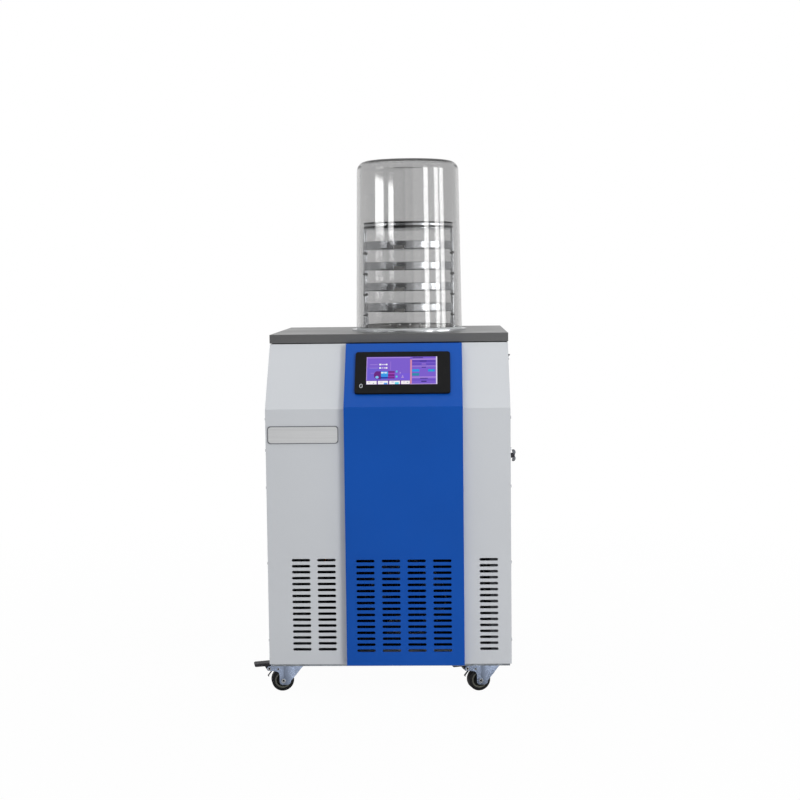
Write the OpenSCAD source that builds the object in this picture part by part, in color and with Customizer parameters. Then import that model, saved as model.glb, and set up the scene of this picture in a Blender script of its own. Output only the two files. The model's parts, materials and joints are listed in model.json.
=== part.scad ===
// Floor-standing freeze dryer: sheet-steel cabinet on casters, with a cold trap in its top
// and a clear bell over a rack of four trays.
// The cabinet is drawn with x = 0 at its middle, y = 0 at the lower front face and z = 0 on the floor.

/* [Cabinet] */
// Width over the side panels
body_w = 620; // [560:1:700]
// Depth from the lower front face to the rear panel
body_d = 675; // [640:1:760]
// Height of the panels' lower edge above the floor
body_z = 85; // [84:1:100]
// Height at which the front starts to slope back
bend_z = 741; // [700:1:770]
// Height of the worktop's upper face
worktop_z = 925; // [900:1:960]
// Thickness of the worktop slab
worktop_t = 23; // [15:1:30]
// How far the front slopes back below the worktop
slope_back = 134; // [110:1:150]
// Thickness of the folded steel sheet
sheet_t = 1.5; // [1:0.1:2]
// Depth of the white panels' folded edges
fold_d = 20; // [15:1:25]
// Width of the square frame tube
tube_w = 30; // [20:1:30]

/* [Blue panel] */
// Width of the blue panel
blue_w = 300; // [280:1:320]
// Its middle, to the right of the cabinet's middle
blue_x = 40; // [20:1:60]
// How far it stands out from the white panels
blue_proud = 16; // [10:1:20]

/* [Air slots] */
// Length of one slot
slot_w = 47; // [40:1:50]
// Height of one slot
slot_h = 7; // [5:0.5:9]
// Vertical distance between rows
slot_pitch = 15.4; // [13:0.1:17]
// Number of rows
slot_rows = 16; // [10:1:18]
// Sideways distance between columns
column_pitch = 65; // [60:1:70]
// Height of the lowest row
slot_z = 124; // [120:1:140]

/* [Touch screen] */
// Width of the screen's housing
screen_w = 243; // [220:1:260]
// Height of the housing along the slope
screen_h = 130.5; // [120:0.5:145]
// Distance from the bend to the housing's lower edge
screen_low = 38.5; // [25:0.5:42]
// Width of the lit display
display_w = 181; // [150:1:190]
// Height of the lit display
display_h = 87; // [80:1:100]

/* [Chamber] */
// Distance of the chamber's axis to the right of the cabinet's middle
chamber_x = 48; // [30:1:60]
// Distance of the chamber's axis from the lower front face
chamber_y = 391; // [380:1:410]
// Outer radius of the bell at its open end
bell_r = 146; // [140:0.5:150]
// Outer radius of the bell under its domed edge
bell_top_r = 139.5; // [135:0.5:145]
// Height of the bell
bell_h = 453.5; // [430:0.5:480]
// Wall of the bell
bell_wall = 8; // [6:0.5:10]
// Radius of the bell's upper edge
bell_round = 26; // [15:1:30]
// Radius of the stainless flange round the trap's mouth
flange_r = 158; // [155:0.5:165]
// Inner radius of the cold trap
trap_r = 105; // [95:1:108]
// Depth of the cold trap below the flange
trap_depth = 225; // [200:1:240]

/* [Rack] */
// Radius of a tray
tray_r = 118; // [110:1:118]
// Depth of a tray
tray_h = 22; // [15:1:25]
// Vertical distance between trays
tray_pitch = 56.5; // [50:0.5:65]
// Height of the lowest tray's floor above the worktop
tray_low = 52; // [36:1:60]
// Radius at which the rods stand
rod_ring = 122; // [122:1:125]

/* [Casters] */
// Radius of a wheel
wheel_r = 29; // [26:0.5:30]
// Sideways distance of a kingpin from the cabinet's middle
caster_x = 255; // [240:1:260]
// Distance of the front kingpins from the lower front face
caster_y = 72; // [60:1:80]
// Distance of the wheel's axle from the kingpin
trail = 30; // [25:1:30]
// Reach of a brake pedal's tip from the kingpin
pedal_reach = 103; // [95:1:108]
// Angle by which the front left caster is swivelled
turn_left = 12; // [0:1:30]
// Angle by which the front right caster is swivelled
turn_right = 17; // [0:1:30]

/* [Hidden] */
$fn = 64;

// Colours
WHITE = "#d6d8da";
BLUE = "#1c50a8";
SLAB = "#8f9194";
BLACK = "#18181a";
STEEL = "#b9bcc0";
ZINC = "#9fa8b3";
CLEAR = [0.8, 0.85, 0.88, 0.35];

// Clearances
gap = 0.3;
running = 0.05;
eps = 0.01;

// Slope of the front
gasket_t = 2;
panel_top = worktop_z - worktop_t - gasket_t;
slope = atan2(slope_back, worktop_z - worktop_t - bend_z);
worktop_front = slope_back - 1;

// Side returns, posts and pan
pan_z = body_z - 6;
pan_t = 3;
post_x = 257;
post_y = 22;
post_z = pan_z + pan_t;
rail_z = panel_top - tube_w;
side_y = fold_d + 1;
blue_left = blue_x - blue_w / 2;
blue_right = blue_x + blue_w / 2;
cover = 6;

// Cold trap, rack and trays
flange_t = 4;
flange_z = worktop_z + flange_t;
trap_wall = 1.5;
coil_r = trap_r + trap_wall + 5;
foam_in = trap_r + trap_wall + 11;
foam_out = foam_in + 32;
rod_angles = [-100, -80, 80, 100];
rod_r = 3;
collar_r = 7;
collar_h = 12;
base_t = 3;
rack_top = tray_low + 3 * tray_pitch + tray_h + 33;
rack_z = flange_z + base_t;

// Condenser, fan and compressor
condenser_x = blue_x;
condenser_w = 260;
condenser_z = 106;
condenser_h = 250;
fan_z = condenser_z + condenser_h / 2;
fan_hole_r = 105;
shaft_r = 4;
compressor_x = -150;
compressor_y = 440;

// Casters
plate_t = 3;
plate_x = 70;
plate_y = 60;
race_r = 26;
race_z = 70;
fork_top = race_z - gap;
fork_t = 3.5;
leg_in = 14.5;
leg_t = 3;
bead_proud = 2.5;
bead_w = 30;
axle_r = 4;
kingpin_r = 5;
tyre_t = 8;
tyre_w = 24;
rim_r = wheel_r - tyre_t;
bolt_x = 27;
bolt_y = 22;
// The pedal's pivot, as x and z from the axle
pivot = [-36, 34];
pivot_r = 6;
pedal_pin_r = 2;
pedal_w = 2 * (leg_in - 0.5);
blade_w = 6;
tip_x = trail - pivot[0] - pedal_reach;
// Each caster's kingpin x, kingpin y and swivel angle
rear_caster_y = body_d - caster_y;
front_left = [-caster_x, caster_y, turn_left];
front_right = [caster_x, caster_y, turn_right];
rear_left = [-caster_x, rear_caster_y, 0];
rear_right = [caster_x, rear_caster_y, 0];

// Air-inlet valve and switch on the right side
handle_proud = 22;
vent_r = 8;
spindle_r = 3;
rocker_tilt = 10;
trunnion_r = 1.5;
valve_y = 200;
valve_z = 596;
switch_z = 859;

// Rear fittings
port_proud = 28;
port_bore_r = 12.5;
port_x = 180;
port_z = 846;
pipe_r = 14;
line_z = port_z + 22;
inlet_x = -190;
inlet_z = 176;

// The origin is under the middle of the whole outline, so the cabinet is shifted to it
pedal_out = caster_x + pedal_reach * cos(turn_left) + pedal_w / 2 * sin(turn_left);
shift_x = (pedal_out - body_w / 2 - handle_proud) / 2;
shift_y = -(body_d + port_proud - blue_proud) / 2;

module at_home() translate([shift_x, shift_y, 0]) children();

module at_axis(z = 0) at_home() translate([chamber_x, chamber_y, z]) children();

// Flat outlines
module rounded(w, h, r) {
    square([w - 2 * r, h], center = true);
    square([w, h - 2 * r], center = true);
    for (x = [-1, 1], y = [-1, 1])
        translate([x * (w / 2 - r), y * (h / 2 - r)]) circle(r);
}

module slot(w = slot_w, h = slot_h) {
    square([w - h, h], center = true);
    for (x = [-1, 1]) translate([x * (w - h) / 2, 0]) circle(h / 2);
}

// Slots for one or more columns, cut along Y through the plane y
module slot_columns(xs, y) {
    for (x = xs, row = [0 : slot_rows - 1])
        translate([x, y, slot_z + row * slot_pitch])
            rotate([90, 0, 0]) linear_extrude(4 * sheet_t, center = true) slot();
}

// Outline of the front at a distance inside (+) or outside (-) the white face, from z0 up to z1
function front_line(off, z0, z1) = [
    [off, z0],
    [off, bend_z - off * tan(slope / 2)],
    [(z1 - bend_z) * tan(slope) + off / cos(slope), z1]
];

module front_band(x0, x1, outer, inner, z0, z1) {
    outline = concat(front_line(outer, z0, z1), [for (i = [2 : -1 : 0]) front_line(inner, z0, z1)[i]]);
    translate([x0, 0, 0]) rotate([90, 0, 90]) linear_extrude(x1 - x0) polygon(outline);
}

// A folded front panel: face sheet with a return at each side
module folded_front(x0, x1) {
    difference() {
        front_band(x0, x1, 0, fold_d, body_z, panel_top);
        front_band(x0 + sheet_t, x1 - sheet_t, sheet_t, fold_d + 1, body_z - 1, panel_top + 1);
    }
}

// Frame on the blue panel's sloping face: X right, Y up the slope from its bend, Z outwards
module on_slope() {
    at_home() translate([blue_x - 2, -blue_proud, bend_z + blue_proud * tan(slope / 2)])
        rotate([90 - slope, 0, 0]) children();
}

// A pipe along straight runs, with a ball fitting at each corner
module pipe(points, r) {
    for (i = [0 : len(points) - 2]) {
        a = points[i];
        run = points[i + 1] - a;
        length = norm(run);
        translate(a) rotate([0, acos(run[2] / length), atan2(run[1], run[0])])
            cylinder(r = r, h = length);
    }
    for (i = [1 : 1 : len(points) - 2]) translate(points[i]) sphere(r + 1);
}

// ---- Cabinet ----

module floor_pan() color(ZINC) at_home() {
    w = body_w - 8;
    d = body_d - 8;
    difference() {
        translate([-w / 2, 4, pan_z]) cube([w, d, body_z - pan_z]);
        translate([-w / 2 + pan_t, 4 + pan_t, pan_z + pan_t]) cube([w - 2 * pan_t, d - 2 * pan_t, body_z]);
        for (c = [front_left, front_right, rear_left, rear_right])
            for (x = [-1, 1], y = [-1, 1])
                translate([c[0] + x * bolt_x, c[1] + y * bolt_y, pan_z - 1])
                    cylinder(r = 4.5, h = pan_t + 2);
    }
}

module frame_posts() color(STEEL) at_home() {
    for (x = [-post_x - tube_w, post_x]) {
        front_band(x, x + tube_w, post_y, post_y + tube_w, post_z, rail_z);
        translate([x, body_d - tube_w - 15, post_z]) cube([tube_w, tube_w, rail_z - post_z]);
    }
}

module frame_rails() color(STEEL) at_home() {
    y0 = slope_back + 27;
    y1 = body_d - 15;
    for (x = [-post_x - tube_w, post_x])
        translate([x, y0, rail_z]) cube([tube_w, y1 - y0, tube_w]);
    for (y = [y0, y1 - tube_w])
        translate([gap - post_x, y, rail_z]) cube([2 * (post_x - gap), tube_w, tube_w]);
}

module front_panel_left() color(WHITE) at_home() difference() {
    folded_front(-body_w / 2, blue_left + cover);
    slot_columns([-225, -225 + column_pitch], 0);
}

module front_panel_right() color(WHITE) at_home() difference() {
    folded_front(blue_right - cover, body_w / 2);
    slot_columns([253], 0);
}

module blue_panel() color(BLUE) difference() {
    at_home() difference() {
        front_band(blue_left, blue_right, -blue_proud, -eps, body_z, panel_top);
        front_band(
            blue_left + sheet_t, blue_right - sheet_t, sheet_t - blue_proud, 5, body_z + sheet_t,
            panel_top - sheet_t
        );
        slot_columns([for (i = [-1.5 : 1 : 1.5]) blue_x - 2.5 + i * column_pitch], -blue_proud);
    }
    on_slope() translate([0, screen_low + screen_h / 2, -3 * sheet_t])
        linear_extrude(6 * sheet_t) square([screen_w - 30, screen_h - 24], center = true);
}

// Outline of a side panel, as y and z
function side_line(inset) = [
    [side_y + inset, body_z + inset],
    [body_d - sheet_t - inset, body_z + inset],
    [body_d - sheet_t - inset, panel_top - inset],
    front_line(side_y + inset, body_z, panel_top - inset)[2],
    front_line(side_y + inset, body_z, panel_top)[1]
];

module side_panel() {
    rotate([90, 0, 90]) difference() {
        linear_extrude(fold_d - 5) polygon(side_line(0));
        translate([0, 0, sheet_t]) linear_extrude(fold_d) polygon(side_line(sheet_t));
    }
}

module side_panel_left() color(WHITE) at_home() translate([-body_w / 2, 0, 0]) side_panel();

module side_panel_right() color(WHITE) at_home() difference() {
    translate([body_w / 2, 0, 0]) mirror([1, 0, 0]) side_panel();
    translate([body_w / 2 - 5, valve_y, valve_z]) rotate([0, 90, 0]) cylinder(r = 10, h = 10);
    translate([body_w / 2, valve_y, switch_z]) cube([10, 14.2, 20.2], center = true);
}

module rear_panel() color(WHITE) at_home() difference() {
    translate([-body_w / 2, body_d - sheet_t, body_z]) cube([body_w, sheet_t, panel_top - body_z]);
    for (x = [-150, 0, 150], row = [0 : 13])
        translate([x, body_d, 256 + row * 18])
            rotate([90, 0, 0]) linear_extrude(4 * sheet_t, center = true) slot(110, 7);
    translate([port_x, body_d + 5, port_z]) rotate([90, 0, 0]) cylinder(r = 15.2, h = 10);
    translate([inlet_x, body_d, inlet_z]) cube([40.4, 10, 28.4], center = true);
}

module panel_screws() color(STEEL) at_home() {
    for (side = [-1, 1], z = [146, 346, 541, 636, 716])
        translate([side * (body_w / 2 - 4), fold_d / 2, z]) rotate([0, side * 90, 0]) {
            cylinder(r = 2, h = 4.5);
            translate([0, 0, 4]) cylinder(r = 4, h = 1.8);
        }
    for (x = [-1, 1], z = [126, 326, 556, 756, 876])
        translate([x * (body_w / 2 - 12), body_d - 4, z]) rotate([-90, 0, 0]) {
            cylinder(r = 2, h = 4.5);
            translate([0, 0, 4]) cylinder(r = 4, h = 1.8);
        }
}

module worktop_gasket() color(BLACK) at_home() {
    y0 = worktop_front + 6;
    y1 = body_d - 4;
    w = body_w - 8;
    for (x = [-w / 2, w / 2 - 12])
        translate([x, y0, panel_top]) cube([12, y1 - y0, gasket_t]);
    for (y = [y0, y1 - 12])
        translate([12 + gap - w / 2, y, panel_top]) cube([w - 24 - 2 * gap, 12, gasket_t]);
}

module worktop() color(SLAB) at_home() difference() {
    translate([-body_w / 2 - 1, worktop_front, worktop_z - worktop_t])
        cube([body_w + 2, body_d - worktop_front, worktop_t]);
    translate([chamber_x, chamber_y, worktop_z - worktop_t - 1])
        cylinder(r = trap_r + 8, h = worktop_t + 2);
}

module badge_plate() color(STEEL) at_home() translate([-215, 0, 676]) rotate([90, 0, 0]) {
    linear_extrude(1.6) rounded(180, 45, 8);
    translate([0, 0, 1.5]) linear_extrude(0.9) rounded(176, 41, 7);
}

module screen_housing() color(BLACK) on_slope() difference() {
    translate([0, screen_low + screen_h / 2, 0]) union() {
        linear_extrude(6) rounded(screen_w, screen_h, 8);
        translate([0, 0, -34]) linear_extrude(35) square([screen_w - 32, screen_h - 26], center = true);
    }
    translate([-2, 109, 4.4]) linear_extrude(5) square([display_w, display_h], center = true);
    translate([-105, 61, 3]) rotate(90) linear_extrude(5) slot(13, 8);
}

module screen_display() color("#7b5ad2") on_slope()
    translate([-2, 109, 4.4]) linear_extrude(1) square([display_w - 0.4, display_h - 0.4], center = true);

module usb_port() color(STEEL) on_slope()
    translate([-105, 61, 3]) rotate(90) linear_extrude(3.6) slot(12.6, 7.6);

module control_box() color(ZINC) at_home()
    translate([-80, 160, 696]) cube([230, 60, 150]);

// ---- Cold trap and chamber ----

module cold_trap() color(STEEL) at_home() difference() {
    translate([chamber_x, chamber_y, 0]) difference() {
        union() {
            translate([0, 0, worktop_z]) cylinder(r = flange_r, h = flange_t);
            translate([0, 0, flange_z - trap_depth]) cylinder(r = trap_r + trap_wall, h = trap_depth - 1);
        }
        translate([0, 0, flange_z - trap_depth + trap_wall]) cylinder(r = trap_r, h = trap_depth);
        translate([0, 0, flange_z - trap_depth - 1]) cylinder(r = vent_r - 1, h = 5);
    }
    translate([chamber_x, chamber_y, line_z]) rotate([-90, 0, 0])
        cylinder(r = pipe_r - 2, h = 2 * trap_r);
}

module evaporator_coil() color("#b0703c") at_axis() {
    for (turn = [0 : 8])
        translate([0, 0, flange_z - trap_depth + 14 + turn * 15])
            rotate_extrude() translate([coil_r, 0]) circle(4.9);
}

module trap_insulation() color("#e8e2c8") difference() {
    at_axis() difference() {
        translate([0, 0, flange_z - trap_depth - 30]) cylinder(r = foam_out, h = trap_depth - 12);
        translate([0, 0, flange_z - trap_depth]) cylinder(r = foam_in, h = trap_depth);
        translate([0, 0, flange_z - trap_depth - 40]) cylinder(r = vent_r + 0.5, h = 60);
    }
    at_axis(line_z) rotate([-90, 0, 0]) cylinder(r = pipe_r + gap, h = 2 * trap_r);
}

module chamber_seal() color("#c4c6c6") at_axis(flange_z) rotate_extrude() {
    translate([bell_r - bell_wall - 6, 0]) square([bell_wall + 5, 2.5]);
    translate([bell_r - bell_wall - 2, 0]) square([bell_wall + 1, 5]);
}

// Half outline of a bell from its open end at z = 0 up to its flat top
module bell_half(r0, r1, h, round_r) {
    difference() {
        union() {
            polygon([[0, 0], [r0, 0], [r1, h - round_r], [0, h - round_r]]);
            square([r1 - round_r, h]);
            translate([r1 - round_r, h - round_r]) circle(round_r);
        }
        translate([-2 * r0, -h]) square([2 * r0, 3 * h]);
    }
}

module bell_jar() color(CLEAR) at_axis(flange_z + 5) rotate_extrude() difference() {
    bell_half(bell_r, bell_top_r, bell_h, bell_round);
    translate([0, -eps]) bell_half(
        bell_r - bell_wall, bell_top_r - bell_wall, bell_h - bell_wall + eps, bell_round - bell_wall
    );
}

// ---- Rack and trays ----

module at_rods() {
    for (a = rod_angles) rotate(a) translate([0, -rod_ring, 0]) children();
}

module rack_base() color(STEEL) at_axis(flange_z) {
    difference() {
        cylinder(r = rod_ring + 7, h = base_t);
        translate([0, 0, -1]) cylinder(r = trap_r + 3, h = base_t + 2);
    }
    difference() {
        translate([0, 0, base_t - eps]) cylinder(r = trap_r + 9, h = 10);
        translate([0, 0, -1]) cylinder(r = trap_r + 8, h = 30);
        for (i = [0 : 23])
            rotate(i * 15) translate([trap_r + 4, 0, base_t + 5]) rotate([0, 90, 0])
                cylinder(r = 2.5, h = 9);
    }
}

module rack_rods() color(STEEL) at_axis() at_rods() {
    translate([0, 0, rack_z]) cylinder(r = rod_r, h = worktop_z + rack_top - rack_z);
    translate([0, 0, rack_z]) cylinder(r = collar_r, h = 6);
    for (level = [0 : 3])
        translate([0, 0, worktop_z + tray_low + level * tray_pitch - collar_h])
            cylinder(r = collar_r, h = collar_h);
}

module rack_top_plate() color(STEEL) at_axis(worktop_z + rack_top) rotate_extrude()
    polygon([[0, 0], [rod_ring + 3, 0], [rod_ring + 3, 15], [rod_ring + 5.5, 17], [rod_ring + 5.5, 18.5],
        [rod_ring + 3, 18.5], [rod_ring + 1.5, 15], [rod_ring + 1.5, 2], [0, 2]]);

module tray(level) color(STEEL) at_axis(worktop_z + tray_low + (level - 1) * tray_pitch) {
    difference() {
        union() {
            cylinder(r = tray_r, h = tray_h);
            rotate(-11) translate([-14, -tray_r - 1.5, -1]) cube([28, 4, 11]);
        }
        translate([0, 0, 1.2]) cylinder(r = tray_r - 1.2, h = tray_h);
    }
}

// ---- Refrigeration ----

module compressor() color(BLACK) at_home() translate([compressor_x, compressor_y, post_z]) {
    for (x = [-70, 70], y = [-45, 45]) translate([x, y, 0]) cylinder(r = 11, h = 20);
    translate([-85, -60, 20]) cube([170, 120, 4]);
    translate([0, 0, 23]) cylinder(r = 72, h = 80);
    translate([0, 0, 95]) cylinder(r = 78, h = 12);
    intersection() {
        translate([0, 0, 100]) cylinder(r = 72, h = 120);
        translate([0, 0, 80]) sphere(110);
    }
    translate([66, -20, 60]) cube([26, 40, 50]);
}

module condenser() color("#8a8d90") at_home() translate([condenser_x, 62, condenser_z]) {
    for (i = [0 : 17]) translate([-condenser_w / 2 + 8 + i * 14.2, 0, 8])
        cube([1.2, 36, condenser_h - 16]);
    for (row = [0 : 6]) translate([-condenser_w / 2, 18, 26 + row * 33])
        rotate([0, 90, 0]) cylinder(r = 5, h = condenser_w);
    for (x = [-condenser_w / 2 - 1, condenser_w / 2 - 1]) translate([x, 0, post_z - condenser_z])
        cube([2, 40, condenser_h + condenser_z - post_z]);
}

module fan_shroud() color(BLACK) at_home() translate([condenser_x, 104, fan_z]) difference() {
    union() {
        translate([-condenser_w / 2, 0, -condenser_h / 2]) cube([condenser_w, 3, condenser_h]);
        rotate([-90, 0, 0]) cylinder(r = fan_hole_r + 3, h = 42);
    }
    translate([0, -1, 0]) rotate([-90, 0, 0]) cylinder(r = fan_hole_r, h = 40);
    translate([0, 30, 0]) for (a = [0 : 90 : 270]) rotate([0, a, 0]) sector_gap();
    rotate([-90, 0, 0]) cylinder(r = 12, h = 60);
}

// Open quarter between two arms of the fan guard
module sector_gap() {
    intersection() {
        rotate([-90, 0, 0]) cylinder(r = fan_hole_r, h = 20);
        rotate([0, 45, 0]) translate([8, 0, 8]) cube([200, 20, 200]);
    }
}

module fan_motor() color(STEEL) at_home() translate([condenser_x, 104, fan_z]) {
    rotate([-90, 0, 0]) {
        translate([0, 0, 42]) cylinder(r = 38, h = 55);
        translate([0, 0, 10]) cylinder(r = shaft_r, h = 33);
        translate([0, 0, 38]) cylinder(r = 11, h = 5);
    }
}

module fan_blades() color("#3a3c40") at_home() translate([condenser_x, 104, fan_z]) difference() {
    union() {
        rotate([-90, 0, 0]) translate([0, 0, 10]) cylinder(r = 24, h = 26);
        for (i = [0 : 4]) rotate([0, i * 72, 0]) translate([20, 23, 0]) rotate([28, 0, 0])
            translate([0, -1, -24]) cube([fan_hole_r - 27, 2, 48]);
    }
    rotate([-90, 0, 0]) cylinder(r = shaft_r + running, h = 60);
}

// Copper lines with the filter drier brazed into the liquid line
module refrigerant_pipes() color("#b0703c") at_home() {
    coil_x = chamber_x - coil_r;
    left_end = condenser_x - condenser_w / 2 - 1;
    right_end = condenser_x + condenser_w / 2 + 1;
    coil_z = flange_z - trap_depth + 14;
    low = condenser_z + 26;
    high = low + 6 * 33;
    drier = [20, 250, 370];
    pipe([[-110, 400, 255], [-110, 400, 430], [-110, 250, 430], [-110, 250, high], [-110, 80, high],
        [left_end, 80, high]], 5);
    pipe([[right_end, 80, low], [185, 80, low], [185, 250, low], [185, 250, 340], [20, 250, 340],
        drier], 4);
    translate(drier) cylinder(r = 15, h = 100);
    pipe([drier + [0, 0, 100], [20, 250, 600], [coil_x, chamber_y, 600], [coil_x, chamber_y, coil_z]], 4);
    pipe([[coil_x, chamber_y, coil_z + 120], [-200, chamber_y, coil_z + 120],
        [-200, 470, coil_z + 120], [-200, 470, 250]], 6);
}

// Pipe from the trap to the flange on the rear panel that takes the pump's hose
module vacuum_line() color(STEEL) at_home() {
    pipe([[chamber_x, chamber_y + trap_r, line_z], [chamber_x, 600, line_z], [chamber_x, 600, port_z],
        [port_x, 600, port_z], [port_x, 650, port_z]], pipe_r);
    translate([port_x, 650, port_z]) rotate([-90, 0, 0]) difference() {
        union() {
            cylinder(r = 15, h = body_d + port_proud - 650);
            translate([0, 0, body_d + port_proud - 653]) cylinder(r = 20, h = 3);
            translate([0, 0, 18]) cylinder(r = 24, h = 5);
        }
        cylinder(r = port_bore_r, h = 60);
    }
}

// ---- Right side fittings ----

// Valve body through the side panel, with its pipe from the foot of the trap
module vent_valve() color(STEEL) at_home() {
    trap_bottom = flange_z - trap_depth;
    pipe([[chamber_x, chamber_y, trap_bottom], [chamber_x, chamber_y, valve_z],
        [chamber_x, valve_y, valve_z], [body_w / 2 - 25, valve_y, valve_z]], vent_r - 0.5);
    translate([body_w / 2, valve_y, valve_z]) rotate([0, 90, 0]) {
        translate([0, 0, -30]) cylinder(r = 9, h = 31);
        cylinder(r = 13, h = 2);
        cylinder(r = 7, h = 8);
        cylinder(r = spindle_r, h = handle_proud - 2);
    }
}

module vent_handle() color(STEEL) at_home() translate([body_w / 2 + 9, valve_y, valve_z]) difference() {
    rotate([0, 90, 0]) {
        cylinder(r = 6, h = handle_proud - 9);
        for (side = [-1, 1]) translate([side * 9.5, 0, 3]) cylinder(r = 7, h = handle_proud - 12);
    }
    translate([-1, 0, 0]) rotate([0, 90, 0]) cylinder(r = spindle_r + running, h = handle_proud - 9);
}

module power_switch() color(BLACK) at_home() translate([body_w / 2, valve_y, switch_z]) difference() {
    union() {
        translate([-14, -7, -10]) cube([15, 14, 20]);
        translate([0, -9, -12]) cube([2, 18, 24]);
    }
    translate([-10, -5.6, -8.8]) cube([20, 11.2, 17.6]);
    translate([-1, 0, 0]) rotate([90, 0, 0]) cylinder(r = trunnion_r + running, h = 13.4, center = true);
}

module power_rocker() color("#303236") at_home() translate([body_w / 2 - 1, valve_y, switch_z])
    rotate([0, rocker_tilt, 0]) rotate([90, 0, 0]) {
        linear_extrude(10, center = true)
            polygon([[-6, -3], [0, -7.4], [8, -7.2], [5, 0], [8, 7.2], [0, 7.4], [-6, 3]]);
        cylinder(r = trunnion_r, h = 13, center = true);
    }

module power_inlet() color(BLACK) at_home() translate([inlet_x, body_d, inlet_z]) {
    difference() {
        union() {
            translate([-20, -30, -14]) cube([40, 31, 28]);
            translate([-32, 0, -18]) cube([64, 3, 36]);
        }
        translate([-14, -21, -9]) cube([28, 30, 18]);
    }
    for (pin = [[-8, -2], [0, 3], [8, -2]]) translate([pin[0] - 1, -22, pin[1] - 3]) cube([2, 12, 6]);
}

// ---- Casters ----

module at_kingpin(place) at_home() translate([place[0], place[1], 0]) rotate(place[2]) children();

module at_axle(place) at_kingpin(place) translate([-trail, 0, wheel_r]) rotate([90, 0, 0]) children();

module caster_plate() {
    race_h = pan_z - plate_t - race_z;
    head_z = race_z - 9;
    translate([-plate_x / 2, -plate_y / 2, pan_z - plate_t]) cube([plate_x, plate_y, plate_t]);
    translate([0, 0, race_z]) cylinder(r = race_r, h = race_h);
    translate([0, 0, head_z]) cylinder(r = kingpin_r, h = 10);
    translate([0, 0, head_z]) cylinder(r = 9, h = 9 - fork_t - 2 * gap);
    for (x = [-1, 1], y = [-1, 1]) translate([x * bolt_x, y * bolt_y, pan_z - plate_t - 4]) {
        cylinder(r = 6, h = 4, $fn = 6);
        cylinder(r = 4.2, h = 4 + plate_t + pan_t);
    }
}

module caster_plates() color(ZINC) at_home() {
    for (c = [front_left, front_right, rear_left, rear_right])
        translate([c[0], c[1], 0]) caster_plate();
}

// Side plate of a fork, as x and z from the axle; a braked one has an arm out to the pedal's pivot
module fork_leg(braked) {
    top = fork_top - wheel_r;
    difference() {
        union() {
            polygon([[-10, -2], [-0.5, -11.5], [9, -11.5], [19.5, -1], [34, 14], [47, 30],
                [trail + 25, top - 3], [trail + 25, top], [-12, top], [-10, top - 4]]);
            translate([-0.5, -2]) circle(9.5);
            translate([9, -1]) circle(10.5);
            if (braked) {
                polygon([pivot + [0, pivot_r], [-12, top], [-8, top], [-8, 16], [-10, 16],
                    [-11.5, 21], [-16, 24.5], [-23, 26.2], pivot - [0, pivot_r]]);
                translate(pivot) circle(pivot_r);
            } else
                polygon([[-24, top], [-8, top], [-8, 18], [-10, 18], [-24, top - 6]]);
        }
        circle(axle_r);
    }
}

// Upright bead pressed into a leg, in plan
module bead() {
    round_r = (pow(bead_w / 2, 2) + pow(bead_proud, 2)) / (2 * bead_proud);
    intersection() {
        translate([0, bead_proud - round_r]) circle(round_r);
        translate([-bead_w / 2, -eps]) square([bead_w, 2 * bead_proud]);
    }
}

module fork(place, braked = false) color(ZINC) {
    outer = leg_in + leg_t;
    at_kingpin(place) {
        difference() {
            union() {
                translate([0, 0, fork_top - fork_t]) cylinder(r = 25, h = fork_t);
                translate([-14 - trail, -leg_in, fork_top - fork_t])
                    cube([39 + trail, 2 * leg_in, fork_t]);
            }
            cylinder(r = kingpin_r + running, h = 100);
        }
        for (side = [-1, 1]) intersection() {
            translate([15 - trail, side * outer, 0]) scale([1, side, 1])
                linear_extrude(fork_top) bead();
            translate([-trail, 0, wheel_r]) rotate([90, 0, 0])
                linear_extrude(3 * outer, center = true) fork_leg(false);
        }
    }
    at_axle(place) {
        for (side = [-1, 1])
            translate([0, 0, side * (leg_in + leg_t / 2)]) linear_extrude(leg_t, center = true)
                fork_leg(braked);
        if (braked) translate(pivot) {
            cylinder(r = pedal_pin_r, h = 2 * outer, center = true);
            for (side = [-1, 1])
                translate([0, 0, side * (outer + 0.7)]) cylinder(r = 4.5, h = 1.4, center = true);
        }
        if (braked) for (side = [-1, 1])
            translate([-13, 31, side * (outer + 0.5)]) cylinder(r = 3.2, h = 1, center = true);
    }
}

module tyre(place) color(BLACK) at_axle(place) rotate_extrude() {
    shoulder = 3;
    translate([rim_r, shoulder - tyre_w / 2]) square([tyre_t, tyre_w - 2 * shoulder]);
    translate([rim_r, -tyre_w / 2]) square([tyre_t - shoulder, tyre_w]);
    for (side = [-1, 1])
        translate([wheel_r - shoulder, side * (tyre_w / 2 - shoulder)]) circle(shoulder);
}

module hub(place) color("#6f7068") at_axle(place) rotate_extrude() {
    bore = axle_r + running;
    translate([bore, -13.5]) square([4, 27]);
    translate([bore, -4]) square([rim_r - bore, 8]);
    translate([rim_r - 4, -tyre_w / 2 + 1]) square([4, tyre_w - 2]);
}

// Axle bolt with its head towards the front and a nut behind
module axle(place) color(STEEL) at_axle(place) {
    reach = leg_in + leg_t;
    cylinder(r = axle_r, h = 2 * reach, center = true);
    translate([0, 0, reach]) cylinder(r = 6.5, h = 4, $fn = 6);
    translate([0, 0, -reach - 6]) cylinder(r = 6.5, h = 6, $fn = 6);
}

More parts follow.
